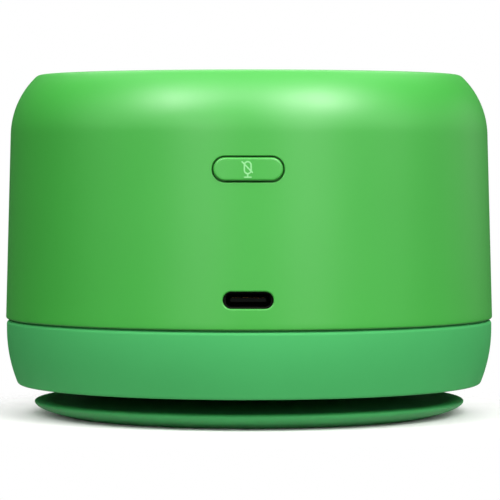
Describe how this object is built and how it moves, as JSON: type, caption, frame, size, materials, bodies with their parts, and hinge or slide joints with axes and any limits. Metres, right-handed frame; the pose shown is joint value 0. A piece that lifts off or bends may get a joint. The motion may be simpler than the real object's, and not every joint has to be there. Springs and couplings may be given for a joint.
{
  "type": "shower speaker",
  "caption": "Round waterproof speaker with a side mute button and charging port, on a suction cup that a twist ring draws tight.",
  "frame": {"origin": "centre of the circle that the suction cup's sealing land makes, in the land's plane", "axes": "+Z along the speaker's axis from the suction cup to the front grille; the mute button and the charging port face -Y; +X is to the right when they are seen from outside"},
  "size_m": [0.0968, 0.0968, 0.0674],
  "materials": {
    "shell_plastic": "satin moulded plastic, fine grain",
    "key_plastic": "satin moulded plastic",
    "ring_plastic": "moulded plastic",
    "grip_silicone": "soft-touch silicone",
    "cup_silicone": "smooth silicone",
    "seal_silicone": "matt silicone",
    "cover_plastic": "moulded plastic",
    "inner_plastic": "black moulded plastic",
    "stem_nylon": "glass-filled nylon",
    "circuit_board": "solder mask",
    "chip_plastic": "moulded chip packages",
    "steel": "plated steel",
    "magnet": "sintered ferrite",
    "copper": "enamelled copper wire",
    "cone_paper": "coated paper cone",
    "surround_rubber": "butyl rubber",
    "spider_cloth": "resin-dipped cloth",
    "acoustic_cloth": "fine woven mesh",
    "battery_foil": "laminated pouch foil",
    "ribbon_film": "polyimide film",
    "lead_jacket": "PVC wire jacket",
    "light_pipe": "clear acrylic"
  },
  "bodies": {
    "cup": {"suction_cup": "cup_silicone", "cup_stem": "stem_nylon", "cam_pins": "steel", "stem_plug": "stem_nylon"},
    "housing": {"upper_shell": "shell_plastic", "bottom_cover": "cover_plastic", "cover_gasket": "seal_silicone", "cover_screws": "steel", "glide_washer": "stem_nylon", "ring_retainer": "steel", "retainer_screws": "steel", "front_grille": "shell_plastic", "grille_cloth": "acoustic_cloth", "keypad_web": "seal_silicone", "key_board": "circuit_board", "key_switches": "steel", "microphones": "steel", "mic_boots": "seal_silicone", "status_light_pipe": "light_pipe", "front_baffle": "inner_plastic", "baffle_screws": "steel", "front_screws": "steel", "driver_basket": "steel", "top_plate": "steel", "magnet": "magnet", "yoke": "steel", "driver_terminals": "inner_plastic", "main_board": "circuit_board", "board_components": "chip_plastic", "board_screws": "steel", "usb_receptacle": "steel", "usb_tongue": "inner_plastic", "usb_seal": "seal_silicone", "battery_pack": "battery_foil", "battery_bracket": "inner_plastic", "mute_switch": "steel", "mute_board": "circuit_board", "mute_bracket": "inner_plastic", "mute_seal": "seal_silicone", "mute_screws": "steel", "speaker_leads": "lead_jacket", "battery_leads": "lead_jacket", "ribbon_cables": "ribbon_film"},
    "lock_ring": {"ring_core": "ring_plastic", "ring_sleeve": "grip_silicone"},
    "play_button": {"play_key": "key_plastic", "play_plunger": "inner_plastic"},
    "volume_up_button": {"volume_up_key": "key_plastic", "volume_up_plunger": "inner_plastic"},
    "volume_down_button": {"volume_down_key": "key_plastic", "volume_down_plunger": "inner_plastic"},
    "power_button": {"power_key": "key_plastic", "power_plunger": "inner_plastic"},
    "mute_button": {"mute_button": "shell_plastic", "mute_plunger": "inner_plastic"},
    "cone": {"driver_cone": "cone_paper", "dust_cap": "cone_paper", "voice_coil": "copper", "driver_surround": "surround_rubber", "spider": "spider_cloth"}
  },
  "joints": [
    {"name": "draw_in", "type": "slide", "parent": "cup", "child": "housing", "axis": [0, 0, -1], "range_m": [0, 0.0024]},
    {"name": "ring_twist", "type": "hinge", "parent": "housing", "child": "lock_ring", "pos_m": [0, 0, 0.0134], "axis": [0, 0, 1], "range_deg": [0, 60]},
    {"name": "play_press", "type": "slide", "parent": "housing", "child": "play_button", "axis": [0, 0, -1], "range_m": [0, 0.0005], "stiffness_N_per_m": 1000, "springref_m": -0.0003},
    {"name": "volume_up_press", "type": "slide", "parent": "housing", "child": "volume_up_button", "axis": [0, 0, -1], "range_m": [0, 0.0005], "stiffness_N_per_m": 1000, "springref_m": -0.0003},
    {"name": "volume_down_press", "type": "slide", "parent": "housing", "child": "volume_down_button", "axis": [0, 0, -1], "range_m": [0, 0.0005], "stiffness_N_per_m": 1000, "springref_m": -0.0003},
    {"name": "power_press", "type": "slide", "parent": "housing", "child": "power_button", "axis": [0, 0, -1], "range_m": [0, 0.0005], "stiffness_N_per_m": 1000, "springref_m": -0.0003},
    {"name": "mute_press", "type": "slide", "parent": "housing", "child": "mute_button", "axis": [0, 1, 0], "range_m": [0, 0.0005], "stiffness_N_per_m": 1000, "springref_m": -0.0003},
    {"name": "cone_drive", "type": "slide", "parent": "housing", "child": "cone", "axis": [0, 0, 1], "range_m": [-0.002, 0.002], "stiffness_N_per_m": 850, "deforming": ["driver_surround", "spider"]}
  ],
  "couplings": [
    {"joint": "draw_in", "follows": "ring_twist", "m_per_rad": 0.0022918}
  ]
}
